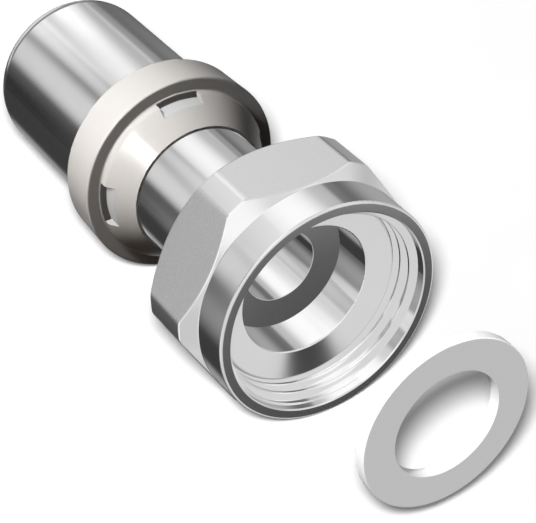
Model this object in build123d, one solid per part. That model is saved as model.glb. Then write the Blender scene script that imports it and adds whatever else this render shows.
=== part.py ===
from build123d import *
import math
import os

# Straight press coupling with a union nut, lying on one flat of its hexagon.
# Frame: origin on the common axis in the plane of the nut's open rim,
# +X along the axis out of the nut, +Z up. All sizes in millimetres.

# ---------------------------------------------------------------- dimensions
# union nut
NUT_AF = 29.7             # across flats, nominal 30
NUT_CORNER_R = 16.40      # corners turned down to this radius
NUT_COLLAR_R = 14.64      # round collar in front of the hexagon
NUT_COLLAR_ROUND = 0.27   # rounding of its front edge
NUT_COLLAR_BACK = -4.95   # where the collar meets the front chamfer
NUT_STRIP_FRONT = -6.49   # front chamfer reaches the corner radius here
NUT_STRIP_BACK = -13.15   # rear chamfer starts here
NUT_BACK = -14.9          # rear face
NUT_BACK_R = 14.5         # rear chamfer runs out at this radius
THREAD_MAJOR_R = 13.22    # G 3/4, wall at the thread's major diameter
THREAD_BACK = -4.6        # end of the threaded length
NUT_RELIEF_R = 12.2       # plain bore round the body's flange
LIP_FRONT = -12.6         # inward lip that carries the flange
LIP_R = 9.15
STRIP_ROUND = 1.5         # rounding between the flats and the corner strips
CHAMFER_ROUND = 0.3       # rounding where the hexagon meets its chamfers

# turned body: flange, neck and pipe insert
SEAT_X = -5.35            # inner edge of the gasket seat
SEAT_RIM_X = -4.65        # its outer edge: the seat is dished by about 11 degrees
FLANGE_R = 12.0
FLANGE_BACK = -12.4
COUNTERBORE_R = 8.55
COUNTERBORE_X = -11.0
BORE_R = 4.71
NECK_R = 8.7
CLIP_FRONT, CLIP_BACK = -32.4, -33.6   # groove that the ring clips into
CLIP_R = 8.35
SHOULDER_X = -38.6
INSERT_R = 7.4            # for a pipe of 15 mm inside diameter
INSERT_TIP = -64.5
RIB_ROOT_R = 6.95
RIB_PITCH = 1.6
RIBS_A_START, RIBS_A = -40.6, 3
RIBS_B_START, RIBS_B = -55.4, 4
GROOVE_W = 2.2
GROOVE_R = 6.0
GROOVE_FRONT = -46.2      # front edge of the first seal groove
GROOVE_REAR = -51.2       # front edge of the second seal groove

# seals
ORING_CORD_R = 0.78
ORING_MEAN_R = GROOVE_R + 0.02 + ORING_CORD_R

# moulded ring
RING_FRONT = -30.4
RING_NOSE_R = 9.15
RING_CONE_BACK = -34.1
RING_HUB_R = 11.75
BAND_FRONT = -35.1
BAND_BACK = -41.3
BAND_FRONT_R = 13.62
BAND_BACK_R = 13.44
RING_BORE_R = 8.76
RING_STOP = -39.0         # the pipe's end rests here
SOCKET_X = -36.5          # bottom of the socket that takes the sleeve
SOCKET_IN_R = 10.35
SOCKET_OUT_R = 11.45
BEAD_R = 8.42             # bead that clips into the neck's groove
WINDOW_W = 5.8
WINDOW_FLOOR_R = 10.92
WINDOW_TOP_R = 11.87
WINDOW_BACK = -34.98      # its rear wall stands just in front of the band
WINDOW_TURN = 0.7         # first window's angle from straight up, in degrees
WINDOWS = 4

# press sleeve
SLEEVE_R = 11.4
SLEEVE_T = 1.0
SLEEVE_FRONT = -36.55
SLEEVE_BACK = -66.7
SLEEVE_ROLL_R = 3.2       # the back edge is drawn in on this radius
SLEEVE_ROLL_TURN = 40.0   # over this angle
SLEEVE_LIP_R = 10.1       # inside of the drawn-in edge

# flat gasket, drawn out along the axis
GASKET_FRONT = 22.7
GASKET_T = 1.5
GASKET_R = 10.8
GASKET_HOLE_R = 6.71


# ---------------------------------------------------------------- helpers
def turned(points):
    """Solid of revolution about X from (x, radius, corner rounding) points."""
    face = make_face(Polyline(*[(p[0], p[1]) for p in points], close=True))
    for p in points:
        if len(p) > 2 and p[2]:
            corner = face.vertices().sort_by_distance((p[0], p[1], 0))[0]
            face = fillet(corner, p[2])
    return revolve(face, axis=Axis.X)


def tube_along_x(x0, x1, r_in, r_out):
    return turned([(x0, r_in), (x1, r_in), (x1, r_out), (x0, r_out)])


def rib_points(start, count):
    """Barbs: each slopes down toward the tip and rises steeply to the next."""
    pts, x = [], start
    for _ in range(count):
        pts += [(x, INSERT_R), (x - 1.0, RIB_ROOT_R), (x - 1.12, INSERT_R)]
        x -= RIB_PITCH
    return pts


def groove_points(x):
    return [(x, INSERT_R, 0.1), (x, GROOVE_R, 0.2),
            (x - GROOVE_W, GROOVE_R, 0.2), (x - GROOVE_W, INSERT_R, 0.1)]


# ---------------------------------------------------------------- union nut
chamfer_front = (NUT_CORNER_R - NUT_COLLAR_R) / (NUT_COLLAR_BACK - NUT_STRIP_FRONT)
chamfer_back = (NUT_CORNER_R - NUT_BACK_R) / (NUT_STRIP_BACK - NUT_BACK)
over = 1.0                # the chamfer cones run on past the corners
nut_turned = turned([
    (0.0, THREAD_MAJOR_R + 0.15),
    (0.0, NUT_COLLAR_R, NUT_COLLAR_ROUND),
    (NUT_COLLAR_BACK, NUT_COLLAR_R, 0.2),
    (NUT_STRIP_FRONT - over / chamfer_front, NUT_CORNER_R + over),
    (NUT_STRIP_BACK + over / chamfer_back, NUT_CORNER_R + over),
    (NUT_BACK, NUT_BACK_R, 0.3),
    (NUT_BACK, LIP_R, 0.3),
    (LIP_FRONT, LIP_R, 0.2),
    (LIP_FRONT, NUT_RELIEF_R, 0.3),
    (THREAD_BACK - 0.4, NUT_RELIEF_R),
    (THREAD_BACK, THREAD_MAJOR_R),
    (-0.15, THREAD_MAJOR_R),
])
section = Plane.YZ.offset(NUT_BACK - 1.0) * (
    RegularPolygon(NUT_AF / 2, 6, major_radius=False) & Circle(NUT_CORNER_R))
section = fillet(section.vertices(), STRIP_ROUND)
hexagon = extrude(section, amount=1.0 - NUT_BACK + 1.0)
union_nut = nut_turned & hexagon
chamfer_edges = ShapeList()
for face in union_nut.faces():
    if face.geom_type == GeomType.PLANE and abs(face.normal_at().X) < 0.01:
        chamfer_edges += [e for e in face.edges() if e.geom_type != GeomType.LINE]
union_nut = fillet(chamfer_edges, CHAMFER_ROUND)

# ---------------------------------------------------------------- turned body
fitting_body = turned(
    [
        (SEAT_X, COUNTERBORE_R, 0.2),
        (SEAT_RIM_X, FLANGE_R, 0.15),
        (FLANGE_BACK, FLANGE_R, 0.3),
        (FLANGE_BACK, NECK_R, 0.25),
        (CLIP_FRONT, NECK_R),
        (CLIP_FRONT, CLIP_R),
        (CLIP_BACK, CLIP_R),
        (CLIP_BACK, NECK_R),
        (SHOULDER_X, NECK_R, 0.3),
        (SHOULDER_X, INSERT_R),
    ]
    + rib_points(RIBS_A_START, RIBS_A)
    + groove_points(GROOVE_FRONT)
    + groove_points(GROOVE_REAR)
    + rib_points(RIBS_B_START, RIBS_B)
    + [
        (INSERT_TIP + 1.9, INSERT_R),
        (INSERT_TIP, INSERT_R - 0.75, 0.3),
        (INSERT_TIP, BORE_R + 0.5),
        (INSERT_TIP + 0.5, BORE_R),
        (COUNTERBORE_X, BORE_R, 0.05),
        (COUNTERBORE_X, COUNTERBORE_R),
    ]
)

# ---------------------------------------------------------------- seals
seal = Rot(0, 90, 0) * Torus(ORING_MEAN_R, ORING_CORD_R)
o_ring_front = Pos(GROOVE_FRONT - GROOVE_W / 2, 0, 0) * seal
o_ring_rear = Pos(GROOVE_REAR - GROOVE_W / 2, 0, 0) * seal

# ---------------------------------------------------------------- moulded ring
window_ring = turned([
    (RING_FRONT, RING_BORE_R),
    (RING_FRONT, RING_NOSE_R, 0.05),
    (RING_CONE_BACK, RING_HUB_R, 0.5),
    (BAND_FRONT, RING_HUB_R, 0.3),
    (BAND_FRONT, BAND_FRONT_R, 0.22),
    (BAND_BACK, BAND_BACK_R, 0.4),
    (BAND_BACK, SOCKET_OUT_R, 0.15),
    (SOCKET_X, SOCKET_OUT_R),
    (SOCKET_X, SOCKET_IN_R),
    (RING_STOP, SOCKET_IN_R, 0.2),
    (RING_STOP, RING_BORE_R),
    (CLIP_BACK + 0.1, RING_BORE_R),
    (CLIP_BACK + 0.35, BEAD_R),
    (CLIP_FRONT - 0.35, BEAD_R),
    (CLIP_FRONT - 0.1, RING_BORE_R),
])
window_zone = tube_along_x(WINDOW_BACK, RING_FRONT, WINDOW_FLOOR_R, WINDOW_TOP_R)
for k in range(WINDOWS):
    turn = WINDOW_TURN + 360.0 * k / WINDOWS
    slab = Rot(turn, 0, 0) * Pos((SOCKET_X + RING_FRONT) / 2, 0, 11.5) * Box(
        12.0, WINDOW_W, 5.0)
    window_ring -= window_zone & slab

# ---------------------------------------------------------------- press sleeve
roll_turn = math.radians(SLEEVE_ROLL_TURN)
roll_x = SLEEVE_BACK + SLEEVE_ROLL_R * math.sin(roll_turn)
roll_middle = SLEEVE_R - SLEEVE_ROLL_R
inside_r = SLEEVE_R - SLEEVE_T
edge_r = roll_middle + SLEEVE_ROLL_R * math.cos(roll_turn)
sleeve_wire = [
    Line((SLEEVE_FRONT, inside_r), (SLEEVE_FRONT, SLEEVE_R)),
    Line((SLEEVE_FRONT, SLEEVE_R), (roll_x, SLEEVE_R)),
    ThreePointArc(
        (roll_x, SLEEVE_R),
        (roll_x - SLEEVE_ROLL_R * math.sin(roll_turn / 2),
         roll_middle + SLEEVE_ROLL_R * math.cos(roll_turn / 2)),
        (SLEEVE_BACK, edge_r)),
    Line((SLEEVE_BACK, edge_r), (SLEEVE_BACK, SLEEVE_LIP_R)),
    Line((SLEEVE_BACK, SLEEVE_LIP_R), (SLEEVE_BACK + 0.8, SLEEVE_LIP_R)),
    Line((SLEEVE_BACK + 0.8, SLEEVE_LIP_R), (SLEEVE_BACK + 1.4, inside_r)),
    Line((SLEEVE_BACK + 1.4, inside_r), (SLEEVE_FRONT, inside_r)),
]
sleeve_face = make_face(sleeve_wire)
sleeve_face = fillet(sleeve_face.vertices().sort_by_distance((SLEEVE_BACK, edge_r, 0))[0], 0.12)
press_sleeve = revolve(sleeve_face, axis=Axis.X)

# ---------------------------------------------------------------- gasket
flat_gasket = turned([
    (GASKET_FRONT - GASKET_T, GASKET_HOLE_R, 0.1),
    (GASKET_FRONT, GASKET_HOLE_R, 0.1),
    (GASKET_FRONT, GASKET_R, 0.12),
    (GASKET_FRONT - GASKET_T, GASKET_R, 0.12),
])

# ---------------------------------------------------------------- write
os.makedirs("parts", exist_ok=True)
for name, solid in {
    "union_nut": union_nut,
    "fitting_body": fitting_body,
    "o_ring_front": o_ring_front,
    "o_ring_rear": o_ring_rear,
    "window_ring": window_ring,
    "press_sleeve": press_sleeve,
    "flat_gasket": flat_gasket,
}.items():
    export_step(solid, f"parts/{name}.step")
    print(name, round(solid.volume, 1))
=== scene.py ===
import math

import bpy
from mathutils import Matrix, Vector


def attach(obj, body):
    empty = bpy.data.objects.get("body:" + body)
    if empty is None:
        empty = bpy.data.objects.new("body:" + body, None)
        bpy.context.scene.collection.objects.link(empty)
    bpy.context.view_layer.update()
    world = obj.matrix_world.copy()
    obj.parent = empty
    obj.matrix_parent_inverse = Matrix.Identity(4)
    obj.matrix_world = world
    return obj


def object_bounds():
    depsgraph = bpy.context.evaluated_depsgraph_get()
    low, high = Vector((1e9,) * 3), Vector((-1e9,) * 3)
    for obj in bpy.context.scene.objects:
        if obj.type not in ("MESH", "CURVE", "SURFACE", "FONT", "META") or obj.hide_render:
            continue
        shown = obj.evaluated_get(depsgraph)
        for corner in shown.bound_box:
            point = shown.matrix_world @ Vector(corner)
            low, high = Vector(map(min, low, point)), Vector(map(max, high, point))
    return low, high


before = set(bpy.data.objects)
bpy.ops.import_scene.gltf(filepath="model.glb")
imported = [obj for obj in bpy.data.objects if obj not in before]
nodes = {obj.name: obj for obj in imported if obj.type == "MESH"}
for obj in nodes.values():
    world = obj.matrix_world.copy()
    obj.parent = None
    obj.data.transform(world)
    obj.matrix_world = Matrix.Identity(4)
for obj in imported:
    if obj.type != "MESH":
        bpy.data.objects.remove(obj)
cad_low, cad_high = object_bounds()
scene = bpy.context.scene
MM = 0.001


# ------------------------------------------------------------------ node helpers
class Tree:
    """A small wrapper that adds and links shader nodes."""

    def __init__(self, node_tree):
        self.t = node_tree
        self.t.nodes.clear()

    def add(self, kind, **settings):
        n = self.t.nodes.new(kind)
        for key, value in settings.items():
            setattr(n, key, value)
        return n

    def put(self, socket, value):
        """Links an output to a socket, or sets the socket's own value."""
        if isinstance(value, bpy.types.NodeSocket):
            self.t.links.new(value, socket)
        else:
            socket.default_value = value

    def math(self, operation, a, b=0.0, c=0.0, clamp=False):
        n = self.add("ShaderNodeMath", operation=operation, use_clamp=clamp)
        for socket, value in zip(n.inputs, (a, b, c)):
            self.put(socket, value)
        return n.outputs[0]

    def vmath(self, operation, a, b=(0.0, 0.0, 0.0), scale=1.0):
        n = self.add("ShaderNodeVectorMath", operation=operation)
        self.put(n.inputs[0], a)
        if operation == "SCALE":
            self.put(n.inputs["Scale"], scale)
        elif len(n.inputs) > 1 and operation not in ("LENGTH", "NORMALIZE"):
            self.put(n.inputs[1], b)
        return n.outputs["Value"] if operation in ("DOT_PRODUCT", "LENGTH") else n.outputs[0]

    def ramp(self, value, low, high, out_low=0.0, out_high=1.0, smooth=True):
        n = self.add("ShaderNodeMapRange",
                     interpolation_type="SMOOTHSTEP" if smooth else "LINEAR")
        for name, v in (("Value", value), ("From Min", low), ("From Max", high),
                        ("To Min", out_low), ("To Max", out_high)):
            self.put(n.inputs[name], v)
        return n.outputs["Result"]

    def noise(self, vector, scale, detail=2.0, roughness=0.5):
        n = self.add("ShaderNodeTexNoise")
        self.put(n.inputs["Vector"], vector)
        n.inputs["Scale"].default_value = scale
        n.inputs["Detail"].default_value = detail
        n.inputs["Roughness"].default_value = roughness
        return n.outputs["Fac"]

    def combine(self, x, y, z):
        n = self.add("ShaderNodeCombineXYZ")
        for socket, value in zip(n.inputs, (x, y, z)):
            self.put(socket, value)
        return n.outputs[0]

    def mix(self, factor, a, b):
        n = self.add("ShaderNodeMix", data_type="RGBA")
        self.put(n.inputs[0], factor)
        self.put(n.inputs[6], a)
        self.put(n.inputs[7], b)
        return n.outputs[2]

    def bump(self, height, distance, strength=1.0, normal=None):
        n = self.add("ShaderNodeBump")
        n.inputs["Strength"].default_value = strength
        n.inputs["Distance"].default_value = distance
        self.put(n.inputs["Height"], height)
        if normal is not None:
            self.put(n.inputs["Normal"], normal)
        return n.outputs[0]


def material(name):
    m = bpy.data.materials.new(name)
    m.use_nodes = True
    t = Tree(m.node_tree)
    out = t.add("ShaderNodeOutputMaterial")
    bsdf = t.add("ShaderNodeBsdfPrincipled")
    t.t.links.new(bsdf.outputs[0], out.inputs[0])
    return m, t, bsdf


def object_point(t):
    """Position in the piece's own frame, in millimetres, and its x, radius parts."""
    coord = t.add("ShaderNodeTexCoord")
    p = t.vmath("SCALE", coord.outputs["Object"], scale=1000.0)
    xyz = t.add("ShaderNodeSeparateXYZ")
    t.put(xyz.inputs[0], p)
    x, y, z = xyz.outputs
    radius = t.math("SQRT", t.math("ADD", t.math("MULTIPLY", y, y), t.math("MULTIPLY", z, z)))
    return p, x, y, z, radius


def use(node, m):
    o = nodes[node]
    o.data.materials.clear()
    o.data.materials.append(m)


def grey(v, alpha=1.0):
    return (v, v, v, alpha)


# ------------------------------------------------------------------ camera
cam_data = bpy.data.cameras.new("camera")
cam_data.lens = 115.37
cam_data.sensor_width = 36.0
cam_data.clip_start, cam_data.clip_end = 0.005, 10.0
cam = bpy.data.objects.new("camera", cam_data)
# camera and studio stand turned by two degrees about the coupling's axis
TURN = Matrix.Rotation(math.radians(-2.0), 4, "X")
cam.matrix_world = TURN @ Matrix((
    (0.52216, -0.49557, 0.69408, 0.13040),
    (0.85284, 0.29898, -0.42812, -0.08891),
    (0.00465, 0.81549, 0.57875, 0.11922),
    (0.0, 0.0, 0.0, 1.0),
))
scene.collection.objects.link(cam)
scene.camera = cam


# ------------------------------------------------------------------ studio
def direction(azimuth, elevation):
    a, e = math.radians(azimuth), math.radians(elevation)
    return TURN.to_3x3() @ Vector((math.cos(e) * math.cos(a), math.cos(e) * math.sin(a), math.sin(e)))


world = bpy.data.worlds.new("studio")
scene.world = world
world.use_nodes = True
w = Tree(world.node_tree)
toward = w.vmath("NORMALIZE", w.add("ShaderNodeTexCoord").outputs["Generated"])
toward_x = w.vmath("DOT_PRODUCT", toward, tuple(direction(0, 0)))
toward_z = w.vmath("DOT_PRODUCT", toward, tuple(direction(0, 90)))


def panel(azimuth, elevation, inner, outer):
    """A round soft panel: 1 within the inner angle, 0 beyond the outer one."""
    c = w.vmath("DOT_PRODUCT", toward, tuple(direction(azimuth, elevation)))
    return w.ramp(c, math.cos(math.radians(outer)), math.cos(math.radians(inner)))


# walls behind the object: dark low down, mid grey at the horizon and above
wall_back = w.math("ADD", 0.049, w.ramp(toward_z, -0.22, 0.14, 0.0, 0.116))
wall_back = w.math("ADD", wall_back, w.ramp(toward_z, 0.3, 0.9, 0.0, 0.246))
# walls in front of it: light grey
wall_front = w.math("ADD", 0.80, w.math("MULTIPLY", toward_z, 0.05))
facing = w.ramp(toward_x, -0.35, 0.35)
glow = w.math("ADD", w.math("MULTIPLY", wall_back, w.math("SUBTRACT", 1.0, facing)),
              w.math("MULTIPLY", wall_front, facing))
for azimuth, elevation, inner, outer, strength in (
        (169, 51, 0, 24, 0.47),       # overhead panels at the back
        (164, 37, 21, 24.5, 0.35),
        (-138, 48, 17.5, 23, 0.51),
        (-132, 60, 20.5, 24, 0.34),
        (172, 17, 16.5, 19.5, 0.68),  # panel behind, at the horizon
        (-167.5, 25, 0.5, 13, 1.13),
        (-143, 15.5, 0, 17, 0.60),    # strips at the back left
        (-122, 3.5, 10, 12, 0.66),
        (-106, -24, 18, 38.5, 0.45),  # low card at the left
        (106, -17, 3, 45, 0.52),      # low card at the right
        (144.5, 18, 5, 7, 0.19),      # small strip at the back right
        (160, -38, 8, 22, 0.30),      # low card behind
        (122, 60, 5, 20, 0.30),       # overhead panel at the right
        (98, 40, 4, 28, 0.30),
        (-31, 35, 8, 26, 0.30),       # panels round the camera
        (-77, 12, 8, 20, 0.40),
        (-89, -36, 8, 18, 0.35),
        (-70, 36, 8, 18, 0.35),
        (-57, 60, 8, 20, 0.35),
        (12, 14, 5, 15, 0.40),
        (47, 12, 4, 11, 0.40),
        (30, 31, 6, 12, 0.35)):
    glow = w.math("ADD", glow, w.math("MULTIPLY", panel(azimuth, elevation, inner, outer), strength))
# dark flags: low in front for the faces square to the axis, and gaps between panels
for azimuth, elevation, inner, outer, strength in (
        (35.5, -39.5, 5.7, 8.6, 0.91),
        (26.5, -16, 5.0, 8.0, 0.96),
        (-165, 14, 1.9, 8.2, 0.96),
        (-147.5, -16.5, 5.5, 6.5, 0.37),
        (80, -3, 6, 32, 0.30),
        (-51, -36, 8, 20, 0.10)):
    shade = w.math("MULTIPLY", panel(azimuth, elevation, inner, outer), strength)
    glow = w.math("MULTIPLY", glow, w.math("SUBTRACT", 1.0, shade))

# straight behind: a light card in a dark surround, seen in the sleeve's drawn-in edge
behind = w.math("MULTIPLY", toward_x, -1.0)
card = w.math("MAXIMUM", w.ramp(behind, 0.94, 0.965),
              w.math("MULTIPLY", w.ramp(toward_z, 0.03, -0.06), w.ramp(behind, 0.87, 0.92)))
card = w.math("MULTIPLY", card, w.ramp(toward_z, -0.27, -0.15))
card = w.math("ADD", w.ramp(toward_z, -0.10, 0.10, 0.08, 0.26), w.math("MULTIPLY", card, 0.60))
inside = w.ramp(behind, 0.84, 0.865)
glow = w.math("ADD", w.math("MULTIPLY", glow, w.math("SUBTRACT", 1.0, inside)),
              w.math("MULTIPLY", card, inside))

lit = w.add("ShaderNodeBackground")
w.put(lit.inputs["Color"], w.combine(glow, glow, glow))
lit.inputs["Strength"].default_value = 1.0
plain = w.add("ShaderNodeBackground")
plain.inputs["Color"].default_value = grey(1.0)
plain.inputs["Strength"].default_value = 1.0
rays = w.add("ShaderNodeLightPath")
choose = w.add("ShaderNodeMixShader")
w.put(choose.inputs[0], rays.outputs["Is Camera Ray"])
w.put(choose.inputs[1], lit.outputs[0])
w.put(choose.inputs[2], plain.outputs[0])
sky = w.add("ShaderNodeOutputWorld")
w.put(sky.inputs[0], choose.outputs[0])
world.cycles_visibility.diffuse = False

centre = Vector((-0.02, 0.0, 0.0))


def area_light(name, toward_light, distance, size_x, size_y, watts, glossy, diffuse):
    data = bpy.data.lights.new(name, "AREA")
    data.shape = "RECTANGLE"
    data.size, data.size_y = size_x, size_y
    data.energy = watts
    o = bpy.data.objects.new(name, data)
    o.location = centre + toward_light.normalized() * distance
    o.rotation_mode = "QUATERNION"
    o.rotation_quaternion = (-toward_light).to_track_quat("-Z", "Y")
    o.visible_glossy = glossy
    o.visible_diffuse = diffuse
    o.visible_camera = False
    scene.collection.objects.link(o)
    return o


def sun_light(name, toward_light, strength, spread):
    data = bpy.data.lights.new(name, "SUN")
    data.energy = strength
    data.angle = math.radians(spread)
    o = bpy.data.objects.new(name, data)
    o.rotation_mode = "QUATERNION"
    o.rotation_quaternion = (-toward_light).to_track_quat("-Z", "Y")
    o.visible_glossy = False
    o.visible_camera = False
    scene.collection.objects.link(o)
    return o


def lights_only(light, objects, state="INCLUDE"):
    group = bpy.data.collections.new(light.name + "_group")
    for o in objects:
        group.objects.link(o)
    for item in group.collection_objects:
        item.light_linking.link_state = state
    light.light_linking.receiver_collection = group


def bulb_light(name, location, radius, watts):
    data = bpy.data.lights.new(name, "POINT")
    data.energy = watts
    data.shadow_soft_size = radius
    o = bpy.data.objects.new(name, data)
    o.location = TURN @ Vector(location)
    o.visible_glossy = False
    o.visible_camera = False
    scene.collection.objects.link(o)
    return o


ring = nodes["window_ring"]
gasket = nodes["flat_gasket"]
key = bulb_light("key", (-0.028, -0.0523, 0.067), 0.012, 0.246)
dome = sun_light("dome", direction(0, 90), 0.05, 170)
front = sun_light("front", TURN.to_3x3() @ Vector((0.196, -0.630, 0.751)), 4.1, 8)
soft = sun_light("soft", TURN.to_3x3() @ Vector((0.30, -0.30, 0.90)), 1.5, 170)
fill = bulb_light("fill", (-0.008, -0.055, -0.016), 0.008, 0.0065)
fill.data.color = (1.0, 0.84, 0.70)
dome.data.color = (1.0, 0.84, 0.70)
# soft light from the far side for the faces turned away
back = sun_light("back", TURN.to_3x3() @ Vector((-0.75, 0.397, -0.531)), 1.8, 6)
back.data.use_shadow = False
# floor light close to the camera, even over the whole floor
paper = bulb_light("paper", (0.0, 0.0, 0.0), 0.0125, 68.0)
paper.location = cam.matrix_world @ Vector((-0.0070, 0.0155, 0.0))
paper.data.use_nodes = True
paper.data.node_tree.nodes.clear()
lamp = Tree(paper.data.node_tree)
even = lamp.add("ShaderNodeLightFalloff")
even.inputs["Strength"].default_value = 1.0
emitter = lamp.add("ShaderNodeEmission")
lamp.put(emitter.inputs["Strength"], even.outputs["Constant"])
lamp_out = lamp.add("ShaderNodeOutputLight")
lamp.put(lamp_out.inputs[0], emitter.outputs[0])
highlight = area_light("highlight", direction(-58, 33), 0.5, 0.19, 0.24, 12.5, True, False)

# floor: the nut lies on one of its flats
floor_mesh = bpy.data.meshes.new("floor")
half = 3.0
floor_mesh.from_pydata(
    [(-half, -half, cad_low.z), (half, -half, cad_low.z),
     (half, half, cad_low.z), (-half, half, cad_low.z)], [], [(0, 1, 2, 3)])
floor = bpy.data.objects.new("floor", floor_mesh)
scene.collection.objects.link(floor)
floor.visible_glossy = False
floor.visible_diffuse = False
lights_only(paper, [floor])
lights_only(key, [ring])
lights_only(fill, [ring])
lights_only(front, [gasket])
lights_only(back, [ring, gasket])
lights_only(soft, [gasket])
lights_only(dome, [floor], "EXCLUDE")
lights_only(highlight, [ring])
floor_mat, t, bsdf = material("floor_paper")
p, x, y, z, radius = object_point(t)
# graded paper, a little darker toward the camera
away = t.math("ADD", t.math("MULTIPLY", x, -0.93), t.math("MULTIPLY", y, 0.37))
shade = t.math("ADD", t.ramp(away, -45, 150, 0.60, 0.95), t.ramp(t.noise(p, 0.05, 3.0), 0.3, 0.7, 0.0, 0.02))
t.put(bsdf.inputs["Base Color"], t.combine(shade, shade, shade))
bsdf.inputs["Roughness"].default_value = 0.9
bsdf.inputs["Specular IOR Level"].default_value = 0.0
bsdf.inputs["Emission Color"].default_value = grey(1.0)
# white out toward the horizon
far = t.math("SQRT", t.math("ADD", t.math("MULTIPLY", x, x), t.math("MULTIPLY", y, y)))
t.put(bsdf.inputs["Emission Strength"], t.ramp(far, 170, 450, 0.21, 1.0))
floor.data.materials.append(floor_mat)


# ------------------------------------------------------------------ materials
def plated(name, flats=False):
    """Nickel plating: polished where turned, satin with a fine grain on the flats."""
    m, t, bsdf = material(name)
    p, x, y, z, radius = object_point(t)
    bsdf.inputs["Metallic"].default_value = 1.0
    tone = t.noise(p, 0.35, 3.0)
    colour = t.mix(tone, grey(0.81), grey(0.85))
    # turning lines: the same all round the axis
    line_at = t.combine(t.math("MULTIPLY", x, 5.0), 0.0, 0.0)
    lines = t.noise(line_at, 1.0, 2.0, 0.6)
    turned_rough = t.ramp(lines, 0.25, 0.75, 0.117, 0.123)
    turned_bump = t.bump(lines, 0.0000002)
    if not flats:
        t.put(bsdf.inputs["Base Color"], colour)
        t.put(bsdf.inputs["Roughness"], turned_rough)
        t.put(bsdf.inputs["Normal"], turned_bump)
        return m
    # distance from the axis along the nearest flat's normal
    a = t.math("ABSOLUTE", z)
    b = t.math("ABSOLUTE", t.math("ADD", t.math("MULTIPLY", y, 0.8660254), t.math("MULTIPLY", z, 0.5)))
    c = t.math("ABSOLUTE", t.math("SUBTRACT", t.math("MULTIPLY", y, 0.8660254), t.math("MULTIPLY", z, 0.5)))
    across = t.math("MAXIMUM", a, t.math("MAXIMUM", b, c))
    flat = t.math("MULTIPLY", t.ramp(across, 14.79, 14.84), t.ramp(x, -4.95, -5.15))
    grain = t.noise(p, 7.0, 2.0, 0.6)
    satin_rough = t.ramp(grain, 0.2, 0.8, 0.40, 0.46)
    # the rounded corners between the flats are half polished
    corner = t.math("MULTIPLY", t.ramp(radius, 16.05, 16.15), t.ramp(x, -6.45, -6.65))
    corner = t.math("MULTIPLY", corner, t.math("SUBTRACT", 1.0, flat))
    satin = flat
    blend = t.math("ADD", t.math("MULTIPLY", satin_rough, satin),
                   t.math("MULTIPLY", turned_rough, t.math("SUBTRACT", 1.0, satin)))
    blend = t.math("ADD", blend, t.math("MULTIPLY", corner, 0.15))
    # the rounded front edge is a little duller
    edge = t.math("MULTIPLY", t.ramp(x, -0.34, -0.28), t.ramp(radius, 14.30, 14.38))
    blend = t.math("ADD", blend, t.math("MULTIPLY", edge, 0.17))
    t.put(bsdf.inputs["Roughness"], blend)
    grained = t.mix(t.ramp(grain, 0.2, 0.8, 0.0, 1.0, False), grey(0.725), grey(0.96))
    t.put(bsdf.inputs["Base Color"], t.mix(satin, colour, grained))
    grain_bump = t.bump(t.math("MULTIPLY", grain, satin), 0.000018, normal=turned_bump)
    t.put(bsdf.inputs["Normal"], grain_bump)
    return m


nut_metal = plated("plated_nut", flats=True)
body_metal = plated("plated_body")
use("union_nut", nut_metal)
use("fitting_body", body_metal)

# drawn stainless sleeve: faint lines along the axis
sleeve_metal, t, bsdf = material("sleeve_steel")
p, x, y, z, radius = object_point(t)
bsdf.inputs["Metallic"].default_value = 1.0
t.put(bsdf.inputs["Base Color"], t.mix(t.noise(p, 0.3, 3.0), grey(0.80), grey(0.84)))
drawn = t.noise(t.vmath("MULTIPLY", p, (0.06, 3.0, 3.0)), 1.0, 3.0, 0.6)
t.put(bsdf.inputs["Roughness"], t.ramp(drawn, 0.2, 0.8, 0.11, 0.15))
t.put(bsdf.inputs["Normal"], t.bump(drawn, 0.0000015))
use("press_sleeve", sleeve_metal)

# moulded ring: warm light grey, half gloss; the window floors are neutral grey with a painted glow standing in for
# light
plastic, t, bsdf = material("ring_plastic")
p, x, y, z, radius = object_point(t)
speck = t.noise(p, 0.6, 4.0)
body_colour = t.mix(speck, (0.81, 0.775, 0.745, 1.0), (0.83, 0.80, 0.77, 1.0))
window_tint_and_glow = t.math("MULTIPLY", t.ramp(radius, 10.84, 10.87), t.ramp(radius, 10.99, 10.96))
window_tint_and_glow = t.math("MULTIPLY", window_tint_and_glow, t.math("MULTIPLY", t.ramp(x, -32.86, -32.92), t.ramp(x, -34.97, -34.95)))
skew = math.radians(0.7)
across_a = t.math("ABSOLUTE", t.math("ADD", t.math("MULTIPLY", y, math.cos(skew)), t.math("MULTIPLY", z, math.sin(skew))))
across_b = t.math("ABSOLUTE", t.math("SUBTRACT", t.math("MULTIPLY", z, math.cos(skew)), t.math("MULTIPLY", y, math.sin(skew))))
beside = t.math("MINIMUM", across_a, across_b)
window_tint_and_glow = t.math("MULTIPLY", window_tint_and_glow, t.ramp(beside, 2.92, 2.87))
# the windows' rear walls lie in shade
rear = t.math("MULTIPLY", t.ramp(x, -34.945, -34.97), t.ramp(x, -35.04, -35.01))
rear = t.math("MULTIPLY", rear, t.math("MULTIPLY", t.ramp(radius, 10.96, 11.0), t.ramp(beside, 2.98, 2.93)))
body_colour = t.mix(rear, body_colour, (0.45, 0.44, 0.43, 1.0))
t.put(bsdf.inputs["Base Color"], t.mix(window_tint_and_glow, body_colour, (0.55, 0.55, 0.55, 1.0)))
# painted glow: the window floors emit light in their material, though they are no lamp
bsdf.inputs["Emission Color"].default_value = grey(1.0)
t.put(bsdf.inputs["Emission Strength"], t.math("MULTIPLY", window_tint_and_glow, 0.16))
fine = t.noise(p, 9.0, 2.0)
t.put(bsdf.inputs["Roughness"], t.ramp(fine, 0.2, 0.8, 0.15, 0.18))
t.put(bsdf.inputs["Normal"], t.bump(fine, 0.0000004))
bsdf.inputs["IOR"].default_value = 1.45
bsdf.inputs["Specular IOR Level"].default_value = 0.09
use("window_ring", plastic)

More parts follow.
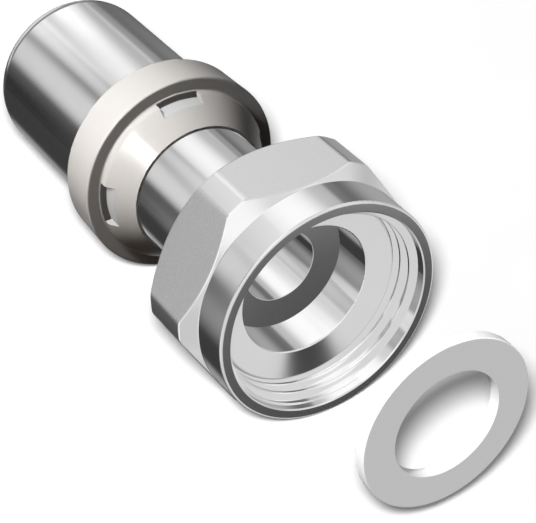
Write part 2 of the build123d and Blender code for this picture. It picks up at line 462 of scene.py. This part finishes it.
# gasket: matt pale grey sheet with a fine fibre
gasket_mat, t, bsdf = material("gasket_sheet")
p, x, y, z, radius = object_point(t)
fibre = t.noise(p, 3.5, 4.0, 0.65)
t.put(bsdf.inputs["Base Color"], t.mix(fibre, grey(0.86), grey(0.92)))
t.put(bsdf.inputs["Roughness"], t.ramp(fibre, 0.2, 0.8, 0.62, 0.75))
t.put(bsdf.inputs["Normal"], t.bump(fibre, 0.00001))
use("flat_gasket", gasket_mat)

# seals: black moulded rubber
rubber, t, bsdf = material("seal_rubber")
p, x, y, z, radius = object_point(t)
skin = t.noise(p, 5.0, 3.0)
t.put(bsdf.inputs["Base Color"], t.mix(skin, grey(0.012), grey(0.022)))
t.put(bsdf.inputs["Roughness"], t.ramp(skin, 0.2, 0.8, 0.38, 0.5))
t.put(bsdf.inputs["Normal"], t.bump(skin, 0.000004))
use("o_ring_front", rubber)
use("o_ring_rear", rubber)


# ------------------------------------------------------------------ pipe thread
def pipe_thread():
    """The nut's inside thread: a right-hand ridge with 55 degree flanks behind a plain entry."""
    pitch, major, minor = 1.8143, 13.22, 12.30
    back = 13.30                      # hidden in the nut's wall
    front_x, back_x = -0.80, -4.60
    around, along = 384, 120
    depth = major - minor
    flank = math.tan(math.radians(27.5))

    def ridge(u):
        """Height, 0 to 1, at a share u of the pitch from the crest's middle."""
        d = abs(u - round(u)) * pitch
        crest_half = 0.15
        h = 1.0 - max(0.0, d - crest_half) / (depth * flank)
        h = max(0.0, min(1.0, h))
        return h * h * (3.0 - 2.0 * h) * 0.4 + h * 0.6

    verts, faces = [], []
    for j in range(along + 1):
        px = front_x + (back_x - front_x) * j / along
        # the first ridges are cut back by a cone
        clip = minor + max(0.0, px + 1.45) * 1.84
        for i in range(around):
            turn = 2.0 * math.pi * i / around
            u = (px + 1.80) / pitch - (i / around + 75.0 / 360.0)
            r = max(major + 0.03 - (depth + 0.03) * ridge(u), clip)
            r = min(r, major + 0.03)
            verts.append((px * MM, -r * math.sin(turn) * MM, r * math.cos(turn) * MM))
    rows = along + 1
    for px in (front_x, back_x):
        for i in range(around):
            turn = 2.0 * math.pi * i / around
            verts.append((px * MM, -back * math.sin(turn) * MM, back * math.cos(turn) * MM))
    outer_front, outer_back = rows * around, (rows + 1) * around
    for j in range(along):
        for i in range(around):
            k = (i + 1) % around
            faces.append((j * around + i, j * around + k, (j + 1) * around + k, (j + 1) * around + i))
    last = along * around
    for i in range(around):
        k = (i + 1) % around
        faces.append((i, outer_front + i, outer_front + k, k))
        faces.append((last + k, outer_back + k, outer_back + i, last + i))
        faces.append((outer_front + k, outer_front + i, outer_back + i, outer_back + k))
    mesh = bpy.data.meshes.new("nut_thread")
    mesh.from_pydata(verts, [], faces)
    mesh.validate()
    import bmesh
    bm = bmesh.new()
    bm.from_mesh(mesh)
    bmesh.ops.recalc_face_normals(bm, faces=bm.faces)
    bm.to_mesh(mesh)
    bm.free()
    mesh.shade_smooth()
    o = bpy.data.objects.new("nut_thread", mesh)
    scene.collection.objects.link(o)
    return o


thread = pipe_thread()
thread.data.materials.append(nut_metal)
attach(thread, "nut")

# bright metal mirrors the studio, not its neighbours
for piece in (nodes["union_nut"], nodes["fitting_body"], nodes["window_ring"],
              nodes["flat_gasket"], thread):
    piece.visible_glossy = False
# and the light on each piece comes straight from the lamps
for piece in list(nodes.values()) + [thread]:
    piece.visible_diffuse = False

# ------------------------------------------------------------------ view and close
scene.view_settings.view_transform = "Standard"
scene.view_settings.look = "None"

bpy.context.view_layer.update()
